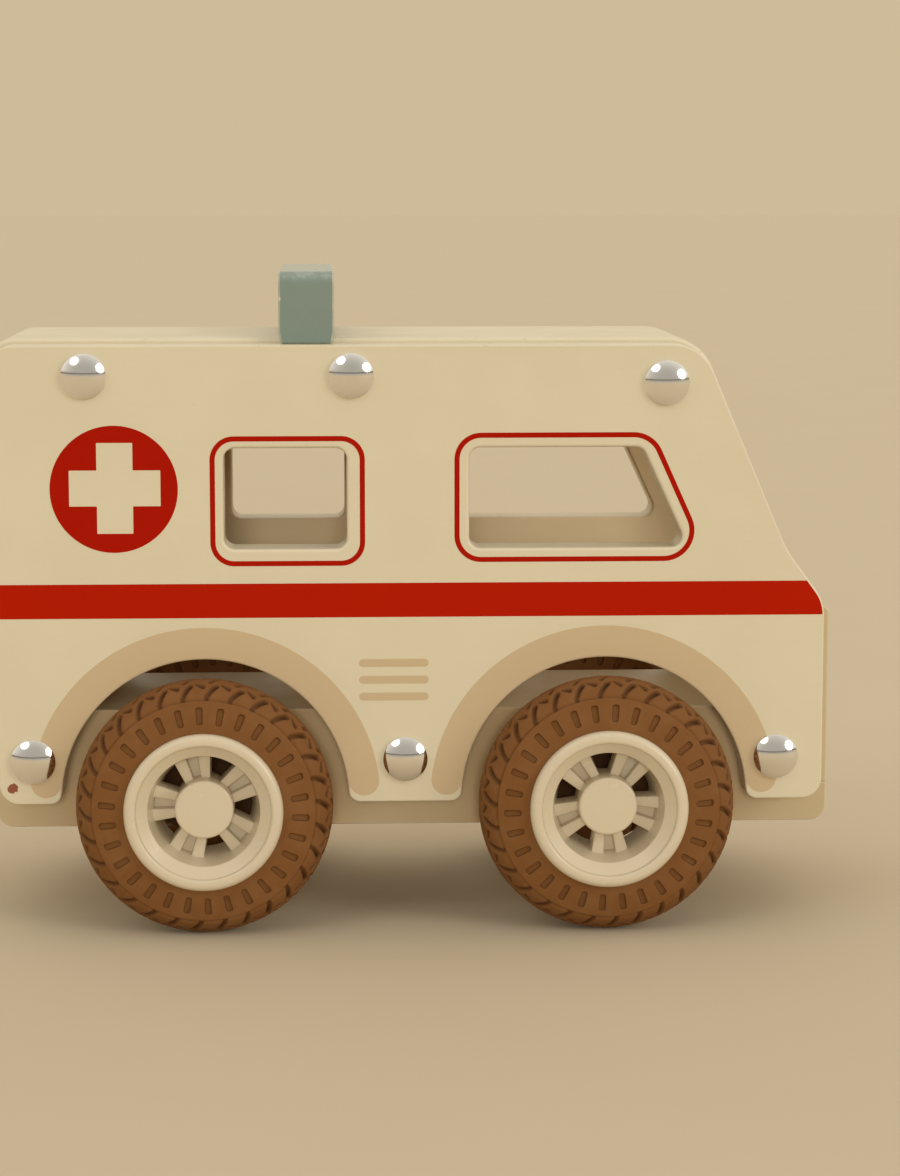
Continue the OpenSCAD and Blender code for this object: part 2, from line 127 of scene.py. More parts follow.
def rounded(points, radii, steps=9):
    """A polygon whose corners are arcs. An arc's centre lies on the corner's bisector at the radius divided by
    sin(half angle), and the arc turns the short way from where it touches one side to where it touches the
    other."""
    corner = np.asarray(points, float)
    radius = np.broadcast_to(np.asarray(radii, float), len(corner))[:, None]
    back = unit(np.roll(corner, 1, axis=0) - corner)
    ahead = unit(np.roll(corner, -1, axis=0) - corner)
    half = np.arccos(np.clip((back * ahead).sum(1, keepdims=True), -1, 1)) / 2
    centre = corner + unit(back + ahead) * radius / np.sin(half)
    first = corner + back * radius / np.tan(half) - centre
    last = corner + ahead * radius / np.tan(half) - centre
    start = np.arctan2(first[:, 1], first[:, 0])[:, None]
    turn = (np.arctan2(last[:, 1], last[:, 0])[:, None] - start + np.pi) % (2 * np.pi) - np.pi
    angle = start + turn * np.linspace(0, 1, steps)
    around = np.stack([np.cos(angle), np.sin(angle)], axis=-1)
    return (centre[:, None] + radius[:, None] * around).reshape(-1, 2)


def oblong(low, high, radii, steps=9):
    """An upright rectangle between two corners, with its own corners rounded, from the lower rear one on."""
    return rounded([low, [high[0], low[1]], high, [low[0], high[1]]], radii, steps)


def offset_normals(loop):
    """Outward directions at the points of a loop, first of length one, then so long that a step along them
    moves each side by one."""
    edge = unit(np.roll(loop, -1, axis=0) - loop)
    side = np.stack([edge[:, 1], -edge[:, 0]], axis=1)
    normal = unit(side + np.roll(side, 1, axis=0))
    return normal, normal / (normal * side).sum(1, keepdims=True)


def smooth_step(value):
    """3 v^2 - 2 v^3 of a value kept between 0 and 1."""
    value = np.clip(value, 0, 1)
    return value**2 * (3 - 2 * value)


def arch(axle):
    """A wheel arch on the way forward along a panel's foot: a corner arc, the arch's arc and a corner arc."""
    rise = PANEL_FOOT + ARCH_CORNER_R - axle[1]
    run = math.sqrt((ARCH_R + ARCH_CORNER_R) ** 2 - rise**2)
    lift = math.atan2(rise, run)
    behind = arc(axle + [-run, rise], ARCH_CORNER_R, -math.pi / 2, -lift, 9)
    over = arc(axle, ARCH_R, math.pi - lift, lift, 65)
    ahead = arc(axle + [run, rise], ARCH_CORNER_R, math.pi + lift, 1.5 * math.pi, 9)
    return np.concatenate([behind, over[1:-1], ahead])


def panel_outline(steps=17):
    """The outline of a side panel: its rounded corners, with both wheel arches let into its foot. The
    windscreen leans back from the cowl up to the roof."""
    top_front = [COWL[0] - (PANEL_TOP - COWL[1]) * math.tan(WINDSCREEN_LEAN), PANEL_TOP]
    corners = rounded(
        [[PANEL_REAR, PANEL_FOOT], [PANEL_FRONT, PANEL_FOOT], NOSE, COWL, top_front, [PANEL_REAR, PANEL_TOP]],
        [FOOT_R, FOOT_R, NOSE_R, COWL_R, ROOF_FRONT_R, ROOF_REAR_R],
        steps,
    )
    return np.concatenate([corners[:steps], arch(AXLES["rear"]), arch(AXLES["front"]), corners[steps:]])


def window_outlines():
    """The two windows of a panel."""
    slant_x = FRONT_WINDOW[1] - (HEAD - SILL) * math.tan(FRONT_WINDOW_LEAN)
    front = [[FRONT_WINDOW[0], SILL], [FRONT_WINDOW[1], SILL], [slant_x, HEAD], [FRONT_WINDOW[0], HEAD]]
    return [oblong([REAR_WINDOW[0], SILL], [REAR_WINDOW[1], HEAD], WINDOW_R), rounded(front, WINDOW_R)]


# Meshes from arrays

SAME_PLACE = 1e-4 * MM


def new_piece(name, mesh, body, slot, material=None):
    """An object at the origin for a new mesh, riding on a body, in its slot's finish or another material."""
    mesh.materials.append(material or FINISHES[slot])
    piece = bpy.data.objects.new(name, mesh)
    bpy.context.scene.collection.objects.link(piece)
    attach(piece, body)
    return piece


def grid_faces(rows, columns, start=0, closed=False):
    """Four-sided faces of a grid of points. Its columns run round and meet, and its rows meet too if closed."""
    index = start + np.arange(rows * columns).reshape(rows, columns)
    if closed:
        index = np.concatenate([index, index[:1]])
    ahead = np.roll(index, -1, axis=1)
    return np.stack([index[:-1], index[1:], ahead[1:], ahead[:-1]], axis=-1).reshape(-1, 4)


def shell_mesh(name, parts, crease=38, dark=None):
    """A mesh of closed shells, from pairs of points and faces. Doubled points at poles are merged, the faces
    turned outwards, and all is shaded smooth but for edges sharper than the crease in degrees. The attribute
    of painted shade, if given, has a value for each point."""
    starts = np.cumsum([0] + [len(points) for points, _ in parts])
    faces = np.concatenate([face + start for (_, face), start in zip(parts, starts)])
    mesh = bpy.data.meshes.new(name)
    mesh.from_pydata(np.concatenate([points for points, _ in parts]), [], faces.tolist())
    if dark is not None:
        mesh.attributes.new("dark", "FLOAT", "POINT").data.foreach_set("value", dark)
    work = bmesh.new()
    work.from_mesh(mesh)
    bmesh.ops.remove_doubles(work, verts=work.verts, dist=SAME_PLACE)
    bmesh.ops.recalc_face_normals(work, faces=work.faces)
    work.to_mesh(mesh)
    work.free()
    mesh.shade_smooth()
    mesh.set_sharp_from_angle(angle=math.radians(crease))
    return mesh


def cap_faces(loops):
    """Triangles that fill the first loop less the others, which are its holes. They all run anticlockwise: one
    is turned round where the cross product of two of its sides is below zero."""
    plan = np.concatenate(loops)
    fill = np.array(tessellate_polygon([np.c_[loop, np.zeros(len(loop))].tolist() for loop in loops]))
    a, b, c = plan[fill].transpose(1, 0, 2)
    turned = (b - a)[:, 0] * (c - a)[:, 1] < (b - a)[:, 1] * (c - a)[:, 0]
    fill[turned] = fill[turned, ::-1]
    return fill


def eased_mesh(name, loops, low, high, eases, across="x", steps=5):
    """A board's mesh: loops in a plane given a thickness from low to high, with eased edges.
    Round every loop runs a profile of two quarter circles, one at each face. At the angle t it lies inside the
    loop by ease * (1 - sin t) and below the face by ease * (1 - cos t), and its normal is sin t outwards and
    cos t upwards. The faces inside the first and the last ring are filled flat. Loops lie in XZ with the
    thickness along -Y where across is "x", and in YZ with the thickness along X where it is "y". The attribute
    "edge" is 1 along the middle of an eased edge and 0 on flat faces."""
    first, second = {"x": ([1, 0, 0], [0, 0, 1]), "y": ([0, 1, 0], [0, 0, 1])}[across]
    axes = np.array([first, second, np.cross(first, second)], float)
    quarter = np.linspace(0, np.pi / 2, steps)
    outward = np.concatenate([np.sin(quarter), np.sin(quarter[::-1])])
    upward = np.concatenate([np.cos(quarter), -np.cos(quarter[::-1])])
    points, normals, faces, edges, firsts, lasts, caps = [], [], [], [], [], [], []
    start = 0
    for loop, ease in zip(loops, eases):
        count = len(loop)
        normal, step = offset_normals(loop)
        flat = loop - step * (ease * (1 - outward))[:, None, None]
        height = np.concatenate([high - ease * (1 - upward[:steps]), low + ease * (1 + upward[steps:])])
        tall = np.broadcast_to(height[:, None, None], flat.shape[:2] + (1,))
        lifted = np.broadcast_to(upward[:, None, None], tall.shape)
        leaning = np.concatenate([normal[None] * outward[:, None, None], lifted], axis=2)
        points.append((np.concatenate([flat, tall], axis=2) @ axes).reshape(-1, 3))
        normals.append((leaning @ axes).reshape(-1, 3))
        edges.append(np.repeat(2 * outward * np.abs(upward), count))
        faces.append(grid_faces(2 * steps, count, start))
        firsts.append(start + np.arange(count))
        lasts.append(start + (2 * steps - 1) * count + np.arange(count))
        caps.append(flat[0])
        start += 2 * steps * count
    fill = cap_faces(caps)
    top = np.concatenate(firsts)[fill].tolist()
    bottom = np.concatenate(lasts)[fill[:, ::-1]].tolist()
    mesh = bpy.data.meshes.new(name)
    mesh.from_pydata(np.concatenate(points), [], np.concatenate(faces).tolist() + top + bottom)
    mesh.shade_smooth()
    mesh.normals_split_custom_set_from_vertices(np.concatenate(normals))
    mesh.attributes.new("edge", "FLOAT", "POINT").data.foreach_set("value", np.concatenate(edges))
    return mesh


# Shader maths


class Field:
    """An output socket in a tree. Operators on it add Math nodes, and node() adds any other node."""

    def __init__(self, tree, socket):
        self.tree = tree
        self.socket = socket

    def node(self, kind, settings, inputs, output=0):
        """Adds a node, sets its settings and then its sockets' values or links, and gives one output."""
        made = self.tree.nodes.new(kind)
        for name, value in settings.items():
            setattr(made, name, value)
        for key, value in inputs.items():
            if isinstance(value, Field):
                self.tree.links.new(value.socket, made.inputs[key])
            else:
                made.inputs[key].default_value = value
        return Field(self.tree, made.outputs[output])

    def math(self, operation, *values):
        """A Math node on values."""
        return self.node("ShaderNodeMath", {"operation": operation}, dict(enumerate(values)))

    def __add__(self, other):
        return self.math("ADD", self, other)

    def __sub__(self, other):
        return self.math("SUBTRACT", self, other)

    def __rsub__(self, other):
        return self.math("SUBTRACT", other, self)

    def __mul__(self, other):
        return self.math("MULTIPLY", self, other)

    __radd__ = __add__
    __rmul__ = __mul__

    def rise(self, low, high):
        """0 up to low, 1 from high on, and a smooth step between. It falls where high is below low."""
        inputs = {"Value": self, "From Min": low, "From Max": high}
        return self.node("ShaderNodeMapRange", {"interpolation_type": "SMOOTHSTEP"}, inputs)

    def stretched(self, *factors):
        """A vector times one factor for each axis."""
        return self.node("ShaderNodeVectorMath", {"operation": "MULTIPLY"}, {0: self, 1: factors})

    def distance(self, point):
        """How far a place is from a point."""
        return self.node("ShaderNodeVectorMath", {"operation": "DISTANCE"}, {0: self, 1: point}, "Value")

    def axes(self):
        """The three parts of a vector."""
        return [self.node("ShaderNodeSeparateXYZ", {}, {0: self}, i) for i in range(3)]

    def noise(self, size, detail=2.0, roughness=0.5):
        """Noise over a place, from 0 to 1, whose grains are about size metres across."""
        inputs = {"Vector": self, "Scale": 1 / size, "Detail": detail, "Roughness": roughness}
        return self.node("ShaderNodeTexNoise", {}, inputs)

    def attribute(self, name):
        """A number stored on the mesh."""
        return self.node("ShaderNodeAttribute", {"attribute_name": name}, {}, "Fac")

    def between(self, first, second):
        """A colour from first, where this mask is 0, to second, where it is 1."""
        return self.node("ShaderNodeMix", {"data_type": "RGBA"}, {0: self, 6: first, 7: second}, 2)


def colour(red, green, blue):
    """A linear colour with full alpha."""
    return (red, green, blue, 1.0)


def new_material(name, **constants):
    """A material, the place on its piece as a Field, and its Principled shader with constants set on it."""
    material = bpy.data.materials.new(name)
    material.use_nodes = True
    tree = material.node_tree
    shader = tree.nodes["Principled BSDF"]
    for key, value in constants.items():
        shader.inputs[key.replace("_", " ")].default_value = value
    place = tree.nodes.new("ShaderNodeTexCoord")
    return material, Field(tree, place.outputs["Object"]), shader


def feed(field, shader, socket):
    """Links a Field to one of the shader's sockets."""
    field.tree.links.new(field.socket, shader.inputs[socket])


def bump(height, shader, depth):
    """Gives the shader a relief: height from 0 to 1 stands for depth in metres."""
    inputs = {"Strength": 1.0, "Distance": depth, "Height": height}
    feed(height.node("ShaderNodeBump", {}, inputs), shader, "Normal")


# Finishes

CREAM = colour(0.680, 0.598, 0.415)
CREAM_DEEP = colour(0.630, 0.543, 0.365)
# Painted highlight on the eased edges
CREAM_EDGE_HIGHLIGHT = colour(0.76, 0.68, 0.50)
GRIME = colour(0.50, 0.385, 0.225)
# Painted warm bounce light on the faces inside the cabin
PANEL_INSIDE_BOUNCE_LIGHT = colour(0.70, 0.55, 0.325)
PLANK = colour(0.565, 0.445, 0.265)
PLANK_DEEP = colour(0.520, 0.395, 0.225)
CHIPPED = colour(0.26, 0.075, 0.035)
# Painted shade: near-black on the chassis plank round the axles, seen between the rims' spokes
AXLE_PAINTED_SHADE = colour(0.060, 0.026, 0.010)
# Painted shade with warm bounce light: brown on the chassis plank's sides near the wheels
WHEEL_PAINTED_SHADE = colour(0.48, 0.27, 0.10)
RED = colour(0.445, 0.0125, 0.0008)
RED_DEEP = colour(0.40, 0.009, 0.0006)
RED_DARK = colour(0.35, 0.006, 0.0005)
TAN = colour(0.575, 0.435, 0.26)
TAN_DEEP = colour(0.545, 0.405, 0.235)
BAR = colour(0.215, 0.272, 0.228)
BAR_DEEP = colour(0.185, 0.240, 0.198)
# Rubbed paint and painted sheen on the bar's top and shoulders
BAR_RUBBED_AND_SHEEN = colour(0.40, 0.44, 0.38)
# Paint worn through, with a painted edge highlight, on the bar's edges and in its chip
BAR_WORN_AND_HIGHLIGHT = colour(0.62, 0.56, 0.43)
IVORY = colour(0.655, 0.560, 0.395)
IVORY_DEEP = colour(0.620, 0.520, 0.355)
RUBBER = colour(0.190, 0.078, 0.022)
RUBBER_DUST = colour(0.235, 0.110, 0.040)
# Painted shade in the tyre's slots and cuts
RUBBER_PAINTED_SHADE = colour(0.045, 0.016, 0.005)
BEECH = colour(0.55, 0.33, 0.15)
BEECH_DEEP = colour(0.42, 0.23, 0.1)
CHROME = (0.98, 0.96, 0.92)
AXLE_STEEL = (0.55, 0.54, 0.52)
WASHER_STEEL = (0.6, 0.59, 0.57)
SMEARED = 0.9

# Sizes of the grains, reliefs and marks in the finishes. A pair is where a mark's edge begins and ends

MOTTLE, GRAIN, SPECK, WEAR = 18 * MM, 0.7 * MM, 1.1 * MM, 2.4 * MM
PEEL, PEEL_DEPTH = 0.9 * MM, 0.03 * MM
SPARSE = (0.80, 0.86)
SKIN = np.array([0.45, 0.35]) * MM
# Reach of the painted warm bounce light inside the cabin: in from the panels' inner faces, and up to the roof
INSIDE_BOUNCE_Y = PANEL_BACK + np.array([0.5, 0.2]) * MM
INSIDE_BOUNCE_TOP = ROOF_FOOT + np.array([1, 0.5]) * MM
BAND_FOOT_EDGE = BAND_FOOT + np.array([0, 0.5]) * MM
BAND_EDGE = ARCH_R + np.array([0.5, 0.4]) * MM
# Painted shade round each axle and near each wheel: the radii where it begins and is whole, and the grain of its
# edge
AXLE_SHADE_R, AXLE_SHADE_GRAIN, AXLE_SHADE_SWING = np.array([12, 10.5]) * MM, 1.5 * MM, 1.5 * MM
WHEEL_SHADE_R, WHEEL_SHADE_GRAIN = np.array([34, 22]) * MM, 4 * MM
PANEL_CHIP = (PANEL_REAR + 2.6 * MM, -PANEL_FACE, PANEL_FOOT + 3.4 * MM)
PANEL_CHIP_R, PANEL_CHIP_GRAIN, PANEL_CHIP_SWING = np.array([1.75, 1.5]) * MM, 0.8 * MM, 1.2 * MM
BAR_CHIP_SHARE = 0.62
BAR_CHIP_R, BAR_CHIP_GRAIN, BAR_CHIP_SWING = np.array([0.9, 0.7]) * MM, 0.5 * MM, 0.6 * MM
# The last pair: how far below the bar's top its rubbed paint and painted sheen begin and are whole
BAR_MOTTLE, BAR_PATCH, BAR_RUB_AND_SHEEN = 6 * MM, 1.6 * MM, np.array([-2.2, -0.8]) * MM
BAR_PEEL, BAR_PEEL_DEPTH = 0.8 * MM, 0.015 * MM
INK_SLOW, INK_FINE, INK_DEPTH = 9 * MM, 0.5 * MM, 0.01 * MM
RIM_FLOW, RIM_RIPPLE, RIM_RIPPLE_DEPTH = 7 * MM, 1.6 * MM, 0.008 * MM
RUBBER_PATCH, RUBBER_GRAIN, RUBBER_GRAIN_DEPTH = 5 * MM, 0.35 * MM, 0.03 * MM
SMEAR, BRUSHING, BRUSHING_DEPTH = 2.5 * MM, 0.3 * MM, 0.01 * MM
BEECH_GRAIN = 0.8 * MM


def painted_wood(name, base, deep, marks):
    """Satin paint over wood: slow mottling, faint grain drawn out along X, specks of grime, every eased edge paler
    as a painted highlight, here and there worn edges, and an orange-peel relief. Marks gives further masks and
    their colours for a place."""
    material, place, shader = new_material(name)
    edge = place.attribute("edge")
    mottle = place.noise(MOTTLE, 3).rise(0.35, 0.7)
    grain = place.stretched(0.06, 1, 1).noise(GRAIN, 4, 0.6)
    specks = place.noise(SPECK, 1).rise(*SPARSE)
    worn = edge * place.noise(WEAR, 4, 0.7).rise(0.60, 0.72)
    tone = (mottle * 0.35 + grain * 0.3).between(base, deep)
    # Painted highlight: every eased edge paler
    tone = (edge * 0.35).between(tone, CREAM_EDGE_HIGHLIGHT)
    tone = (specks * 0.5 + worn * 0.35).between(tone, GRIME)
    for mask, mark in marks(place):
        tone = mask.between(tone, mark)
    feed(tone, shader, "Base Color")
    feed(mottle * 0.08 + grain * 0.1 + 0.34, shader, "Roughness")
    bump(place.noise(PEEL, 2) * 0.5 + grain * 0.5, shader, PEEL_DEPTH)
    return material


def past_side(place, half_w):
    """1 on the outermost skin of a board whose faces lie half_w to either side of the middle."""
    return place.math("ABSOLUTE", place.axes()[1]).rise(*(half_w - SKIN))


def from_axles(place):
    """How far a place is from each axle, seen from the side."""
    flat = place.stretched(1, 0, 1)
    return [flat.distance((axle[0], 0, axle[1])) for axle in AXLES.values()]


def panel_marks(place):
    """A panel's marks: painted warm bounce light on the faces inside the cabin, the arch bands' ink on the eased
    edges, and a ragged chip where the paint is knocked off."""
    _, aside, height = place.axes()
    inner = place.math("ABSOLUTE", aside).rise(*INSIDE_BOUNCE_Y)
    # Painted warm bounce light inside the cabin
    yield inner * height.rise(*INSIDE_BOUNCE_TOP), PANEL_INSIDE_BOUNCE_LIGHT
    skin = past_side(place, PANEL_FACE) * height.rise(*BAND_FOOT_EDGE)
    for gap in from_axles(place):
        yield skin * gap.rise(*BAND_EDGE), TAN
    ragged = place.distance(PANEL_CHIP) + place.noise(PANEL_CHIP_GRAIN, 3) * PANEL_CHIP_SWING
    yield ragged.rise(*PANEL_CHIP_R), CHIPPED


def plank_painted_shade(place):
    """The planks' painted shade: a warmer, deeper brown on their sides near the wheels, standing for shade and
    warm light bounced off the tyres, and near-black round the axles behind the rims, standing for the shade there.
    """
    skin = past_side(place, box("chassis_plank")[1][1])
    for gap in from_axles(place):
        # Painted shade and warm bounce light near the wheels
        yield skin * gap.rise(*WHEEL_SHADE_R) * (place.noise(WHEEL_SHADE_GRAIN, 3) * 0.4 + 0.35), WHEEL_PAINTED_SHADE
        # Painted shade round the axles
        ragged = gap + place.noise(AXLE_SHADE_GRAIN, 3) * AXLE_SHADE_SWING
        yield skin * ragged.rise(*AXLE_SHADE_R), AXLE_PAINTED_SHADE


def ink(name, base, deep):
    """Printed ink: even colour with slow and fine changes of tone, and a few pinholes that show the paint."""
    material, place, shader = new_material(name, Specular_IOR_Level=0.05)
    tone = place.noise(INK_SLOW, 3) * 0.6 + place.noise(INK_FINE, 2) * 0.4
    pinholes = place.noise(INK_FINE, 1).rise(*SPARSE)
    feed((pinholes * 0.15).between(tone.between(base, deep), CREAM), shader, "Base Color")
    feed(tone * 0.2 + 0.36, shader, "Roughness")
    bump(place.noise(INK_FINE, 2), shader, INK_DEPTH)
    return material


def bar_paint():
    """Blue-grey paint of the light bar. Its top and shoulders are paler, with rubbed paint and a painted sheen;
    every edge is paler still, with paint worn through and a painted edge highlight; and one edge is chipped."""
    material, place, shader = new_material("light_bar_paint")
    edge = place.attribute("edge")
    (rear, right, bottom), (_, _, top) = box("light_bar")
    chip = (rear, right, bottom + BAR_CHIP_SHARE * (top - bottom))
    mottle = place.noise(BAR_MOTTLE, 3)
    patches = place.noise(BAR_PATCH, 4, 0.7).rise(0.45, 0.65)
    height = place.axes()[2]
    # Paler towards the top: rubbed paint and a painted sheen
    shoulder = height.rise(*(top + BAR_RUB_AND_SHEEN)) * (patches * 0.35 + 0.15)
    tone = shoulder.between(mottle.between(BAR, BAR_DEEP), BAR_RUBBED_AND_SHEEN)
    ragged = place.distance(chip) + place.noise(BAR_CHIP_GRAIN, 2) * BAR_CHIP_SWING
    # Every edge paler, with paint worn through and a painted edge highlight, and one chip
    bare_and_highlight = edge * (patches * 0.3 + 0.6)
    bare_and_highlight = bare_and_highlight.math("MAXIMUM", bare_and_highlight, ragged.rise(*BAR_CHIP_R))
    feed(bare_and_highlight.between(tone, BAR_WORN_AND_HIGHLIGHT), shader, "Base Color")
    feed(mottle * 0.12 + 0.2, shader, "Roughness")
    bump(place.noise(BAR_PEEL, 2), shader, BAR_PEEL_DEPTH)
    return material


def rim_plastic():
    """Glossy moulded plastic with faint flow marks."""
    material, place, shader = new_material("rim_plastic")
    flow = place.noise(RIM_FLOW, 3)
    feed(flow.between(IVORY, IVORY_DEEP), shader, "Base Color")
    feed(flow * 0.12 + 0.2, shader, "Roughness")
    bump(place.noise(RIM_RIPPLE, 1), shader, RIM_RIPPLE_DEPTH)
    return material


def tyre_rubber():
    """Matte brown rubber, dusty in patches and with a fine grain, and with painted shade in its slots and cuts."""
    material, place, shader = new_material("tyre_rubber", Specular_IOR_Level=0.15)
    dust = place.noise(RUBBER_PATCH, 4, 0.6).rise(0.4, 0.75)
    tone = (dust * 0.5).between(RUBBER, RUBBER_DUST)
    # Painted shade in the slots and cuts
    feed((place.attribute("dark") * 0.85).between(tone, RUBBER_PAINTED_SHADE), shader, "Base Color")
    feed(dust * 0.15 + 0.62, shader, "Roughness")
    bump(place.noise(RUBBER_GRAIN, 3), shader, RUBBER_GRAIN_DEPTH)
    return material


def metal(name, tone, roughness, brushed=False):
    """Metal with smears in its polish, and brushed along Y or not."""
    material, place, shader = new_material(name, Metallic=1.0)
    smear = place.noise(SMEAR, 3)
    smeared = colour(*(SMEARED * value for value in tone))
    feed(smear.between(colour(*tone), smeared), shader, "Base Color")
    feed(smear * 0.08 + roughness, shader, "Roughness")
    if brushed:
        bump(place.stretched(1, 0.05, 1).noise(BRUSHING, 2), shader, BRUSHING_DEPTH)
    return material


def dowel_wood():
    """Bare beech with its grain along Z."""
    material, place, shader = new_material("dowel_wood", Roughness=0.6)
    grain = place.stretched(1, 1, 0.08).noise(BEECH_GRAIN, 4)
    feed(grain.between(BEECH, BEECH_DEEP), shader, "Base Color")
    return material


FINISHES = {
    "panel_paint": painted_wood("panel_paint", CREAM, CREAM_DEEP, panel_marks),
    "plank_paint": painted_wood("plank_paint", PLANK, PLANK_DEEP, plank_painted_shade),
    "light_bar_paint": bar_paint(),
    "dowel_wood": dowel_wood(),
    "nail_chrome": metal("nail_chrome", CHROME, 0.05),
    "axle_steel": metal("axle_steel", AXLE_STEEL, 0.3, brushed=True),
    "washer_steel": metal("washer_steel", WASHER_STEEL, 0.35),
    "rim_plastic": rim_plastic(),
    "tyre_rubber": tyre_rubber(),
}
RED_INK = ink("red_ink", RED, RED_DEEP)
DARK_RED_INK = ink("dark_red_ink", RED_DEEP, RED_DARK)
TAN_INK = ink("tan_ink", TAN, TAN_DEEP)
for subpart in frame["record"]["subparts"]:
    node = frame["nodes"][subpart["node"]]
    node.data.materials.clear()
    node.data.materials.append(FINISHES[subpart["material_slot"]])

# Boards


def board(name, node, loops, low, high, eases, slot, across="x"):
    """The mesh of an eased board that stands for a CAD node on the body."""
    mesh = eased_mesh(name, loops, low, high, eases, across)
    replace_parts(new_piece(name, mesh, "body", slot), node)
    return mesh


def nail_places(side):
    """The middles of a side's roof nails and chassis nails, as rows of x and z. The outer ones come from the
    CAD boxes."""
    low, high = box(f"{side}_roof_nails")
    middle_x = PANEL_REAR + MIDDLE_ROOF_NAIL_SHARE * (PANEL_FRONT - PANEL_REAR)
    upper, lower = high[2] - NAIL_HEAD_R, low[2] + NAIL_HEAD_R
    roof = [[low[0] + NAIL_HEAD_R, upper], [middle_x, upper], [high[0] - NAIL_HEAD_R, lower]]
    low, high = box(f"{side}_chassis_nails")
    middle_x = (AXLES["rear"][0] + AXLES["front"][0]) / 2
    xs = [low[0] + NAIL_HEAD_R, middle_x, high[0] - NAIL_HEAD_R]
    return np.array(roof), np.array([[x, (low[2] + high[2]) / 2] for x in xs])


def side_panels():
    """Both side panels, pierced by the windows and the nails."""
    for side, sign in SIDES:
        holes = [ring(place, NAIL_R, 16) for places in nail_places(side) for place in places]
        loops = [panel_outline()] + [hole[::-1] for hole in window_outlines() + holes]
        eases = [EDGE_EASE, WINDOW_EASE, WINDOW_EASE] + [HOLE_EASE] * len(holes)
        low, high = sorted((sign * PANEL_BACK, sign * PANEL_FACE))
        board(f"{side}_panel", f"{side}_side_panel", loops, low, high, eases, "panel_paint")


def planks():
    """The chassis plank, the nose board and the rear board, which lie between the panels."""
    (tail, low_y, bottom), (front, high_y, top) = box("chassis_plank")
    (board_back, _, lip), (_, _, board_top) = box("nose_board")
    chassis = rounded(
        [[tail, bottom], [front, bottom], [front, lip], [board_back, lip], [board_back, top], [tail, top]],
        [CHASSIS_END_R, CHASSIS_END_R, EDGE_EASE, TIGHT_R, EDGE_EASE, EDGE_EASE],
    )
    bores = [ring(axle, AXLE_HOLE_R)[::-1] for axle in AXLES.values()]
    eases = [EDGE_EASE] + [HOLE_EASE] * len(bores)
    board("chassis_wood", "chassis_plank", [chassis] + bores, low_y, high_y, eases, "plank_paint")
    radii = [EDGE_EASE, EDGE_EASE, NOSE_BOARD_R, NOSE_BOARD_R]
    nose = oblong([board_back, lip], [front, board_top], radii)
    board("nose_wood", "nose_board", [nose], low_y, high_y, [EDGE_EASE], "plank_paint")
    (rear_low, _, rear_z), (rear_high, _, rear_top) = box("rear_board")
    rear = oblong([rear_low, rear_z], [rear_high, rear_top], EDGE_EASE)
    board("rear_wood", "rear_board", [rear], low_y, high_y, [EDGE_EASE], "plank_paint")


def roof():
    """The roof plank, whose front leans with the windscreen. The light bar stands in it."""
    (tail, low_y, bottom), (front, high_y, top) = box("roof_plank")
    proud = top - PANEL_TOP
    front_top = front - (top - bottom) * math.tan(WINDSCREEN_LEAN)
    outline = rounded(
        [[tail, bottom], [front, bottom], [front_top, top], [tail, top]],
        [ROOF_EASE, ROOF_EASE, ROOF_FRONT_R + proud, ROOF_REAR_R + proud],
    )
    board("roof_wood", "roof_plank", [outline], low_y, high_y, [ROOF_EASE], "panel_paint")


def light_bar(corner_steps=13, side_steps=14):
    """The light bar: an end view with rounded shoulders, carried along the toy. Near its foot it narrows by the
    taper times one less the smooth step of the height."""
    (rear, right, bottom), (front, left, top) = box("light_bar")
    radii = [BAR_EASE, BAR_EASE, BAR_SHOULDER_R, BAR_SHOULDER_R]
    corners = oblong([right, bottom], [left, top], radii, corner_steps).reshape(4, corner_steps, 2)
    following = np.roll(corners[:, 0], -1, axis=0)
    sides = np.linspace(corners[:, -1], following, side_steps, axis=1)[:, 1:-1]
    outline = np.concatenate([corners, sides], axis=1).reshape(-1, 2)
    bar = board("light_bar_wood", "light_bar", [outline], rear, front, [BAR_EASE], "light_bar_paint", "y")
    points = np.empty((len(bar.vertices), 3))
    bar.vertices.foreach_get("co", points.ravel())
    middle = (rear + front) / 2
    narrow = BAR_TAPER * (1 - smooth_step((points[:, 2] - bottom) / BAR_TAPER_H))
    points[:, 0] -= np.sign(points[:, 0] - middle) * narrow
    bar.vertices.foreach_set("co", points.ravel())


side_panels()
planks()
roof()
light_bar()

# Print on both sides

STRIPE_Z = np.array([62.45, 69.3]) * MM
DISC_PLACE = np.array([PANEL_REAR + 23.6 * MM, 88.2 * MM])
DISC_R = 12.6 * MM
CROSS_PLACE = DISC_PLACE + np.array([0.2, 0.2]) * MM
CROSS_REACH, CROSS_ARM, CROSS_CORNER_R = 9.0 * MM, 3.56 * MM, 0.12 * MM
LINE_W = 1.02 * MM
REAR_LINE = np.array([[-40.0, 73.3], [-10.4, 98.1]]) * MM
REAR_LINE_R = 4.2 * MM
FRONT_LINE_Z = np.array([73.9, 98.65]) * MM
FRONT_LINE_X = np.array([8.35, 58.27, 47.07]) * MM
FRONT_LINE_R = np.array([4.8, 5.6, 5.6, 4.8]) * MM
BAND_R = np.array([28.97, 35.0]) * MM
VENT_X = np.array([-11.2, 2.7]) * MM
VENT_MIDDLES = np.array([53.2, 49.8, 46.4]) * MM
VENT_H = 1.6 * MM
VENT_END_R = 0.98 * VENT_H / 2
INK_PROUD = 0.03 * MM
INK_EDGE = 0.015 * MM


